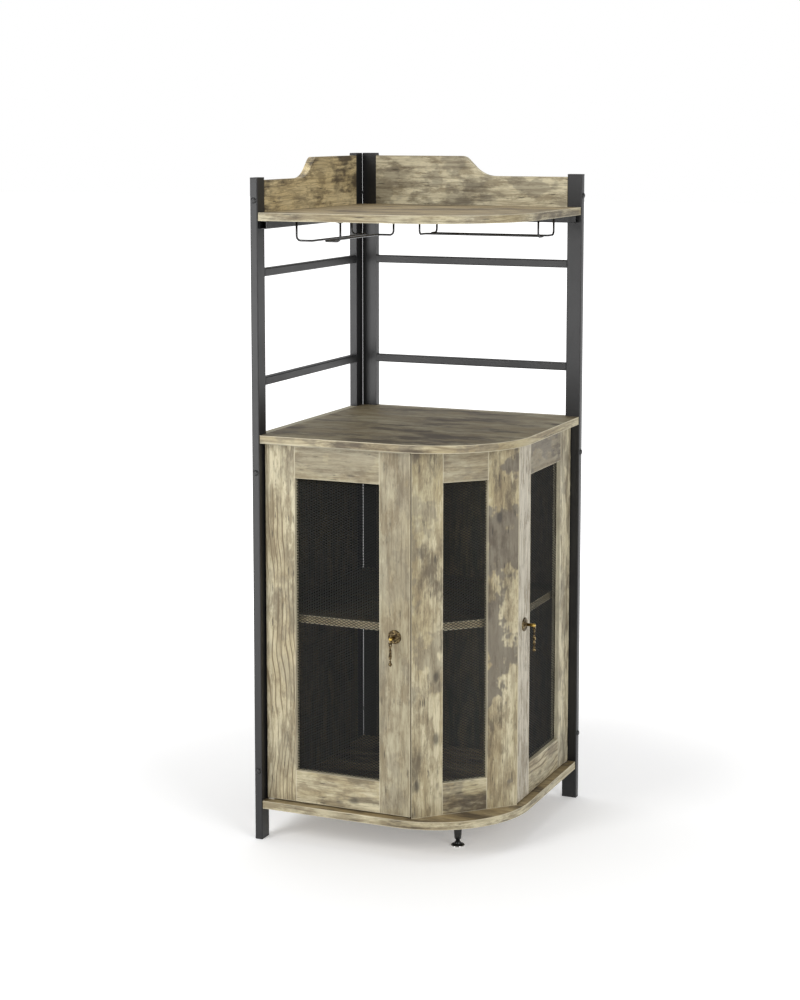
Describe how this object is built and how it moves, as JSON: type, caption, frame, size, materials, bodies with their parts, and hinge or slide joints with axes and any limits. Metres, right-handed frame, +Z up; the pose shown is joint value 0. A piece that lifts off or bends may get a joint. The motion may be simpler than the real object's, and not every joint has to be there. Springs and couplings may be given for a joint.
{
  "type": "corner bar cabinet",
  "caption": "Corner bar cabinet: steel side frames, rounded wooden shelves, an open bay with hanging glass racks above, and a low cabinet with mesh doors beside a mesh corner panel.",
  "frame": {"origin": "on the floor, under the middle of the whole piece with its pulls", "axes": "+Z up. The left wall is to -X and the right-hand wall to +Y, so the room corner is at -X +Y and the front corner at +X -Y. The left door faces -Y and the right door +X."},
  "size_m": [0.4878, 0.4878, 1.283],
  "materials": {
    "weathered_wood": "weathered wood pattern, satin laminate",
    "shelf_wood": "weathered wood pattern, satin laminate",
    "cabinet_top_wood": "darker weathered wood pattern, satin laminate",
    "frame_steel": "satin black powder coat",
    "mesh_steel": "black coated diamond mesh",
    "rack_wire": "smooth black coated wire",
    "antique_brass": "dark antique brass",
    "black_plastic": "matt black",
    "nylon": "natural nylon",
    "plain_steel": "zinc plated",
    "bolt_steel": "black socket button heads",
    "foot_steel": "black, with a bright nickel rim"
  },
  "bodies": {
    "frame": {"left_front_post": "frame_steel", "left_rear_post": "frame_steel", "right_front_post": "frame_steel", "right_rear_post": "frame_steel", "left_rungs": "frame_steel", "right_rungs": "frame_steel", "post_caps": "black_plastic", "foot_plugs": "black_plastic", "left_shelf_bearer": "frame_steel", "right_shelf_bearer": "frame_steel", "left_gallery_board": "weathered_wood", "right_gallery_board": "weathered_wood", "left_back_panel": "weathered_wood", "right_back_panel": "weathered_wood", "frame_bolts": "bolt_steel", "top_shelf": "shelf_wood", "cabinet_top": "cabinet_top_wood", "cabinet_base": "shelf_wood", "inner_shelf": "shelf_wood", "shelf_supports": "black_plastic", "centre_left_stile": "weathered_wood", "centre_right_stile": "weathered_wood", "centre_bottom_rail": "weathered_wood", "centre_top_rail": "weathered_wood", "centre_mesh": "mesh_steel", "pivot_bearings": "nylon", "door_magnets": "black_plastic", "left_glass_rack": "rack_wire", "right_glass_rack": "rack_wire", "foot_sleeve": "frame_steel"},
    "left_door": {"left_door_hinge_stile": "weathered_wood", "left_door_lock_stile": "weathered_wood", "left_door_bottom_rail": "weathered_wood", "left_door_top_rail": "weathered_wood", "left_door_mesh": "mesh_steel", "left_door_pivots": "plain_steel", "left_door_strike": "plain_steel", "left_pull_mount": "antique_brass"},
    "left_pull": {"left_pull_drop": "antique_brass"},
    "right_door": {"right_door_hinge_stile": "weathered_wood", "right_door_lock_stile": "weathered_wood", "right_door_bottom_rail": "weathered_wood", "right_door_top_rail": "weathered_wood", "right_door_mesh": "mesh_steel", "right_door_pivots": "plain_steel", "right_door_strike": "plain_steel", "right_pull_mount": "antique_brass"},
    "right_pull": {"right_pull_drop": "antique_brass"},
    "levelling_foot": {"levelling_foot": "foot_steel"}
  },
  "joints": [
    {"name": "left_door_swing", "type": "hinge", "parent": "frame", "child": "left_door", "pos_m": [-0.2184, -0.2126, 0.4155], "axis": [0, 0, 1], "range_deg": [-95, 0]},
    {"name": "right_door_swing", "type": "hinge", "parent": "frame", "child": "right_door", "pos_m": [0.2126, 0.2184, 0.4155], "axis": [0, 0, 1], "range_deg": [0, 95]},
    {"name": "left_pull_swing", "type": "hinge", "parent": "left_door", "child": "left_pull", "pos_m": [0.0361, -0.2403, 0.406], "axis": [-1, 0, 0], "range_deg": [-15, 90]},
    {"name": "right_pull_swing", "type": "hinge", "parent": "right_door", "child": "right_pull", "pos_m": [0.2403, -0.0361, 0.406], "axis": [0, -1, 0], "range_deg": [-15, 90]},
    {"name": "foot_level", "type": "slide", "parent": "frame", "child": "levelling_foot", "axis": [0, 0, 1], "range_m": [-0.01, 0]}
  ]
}
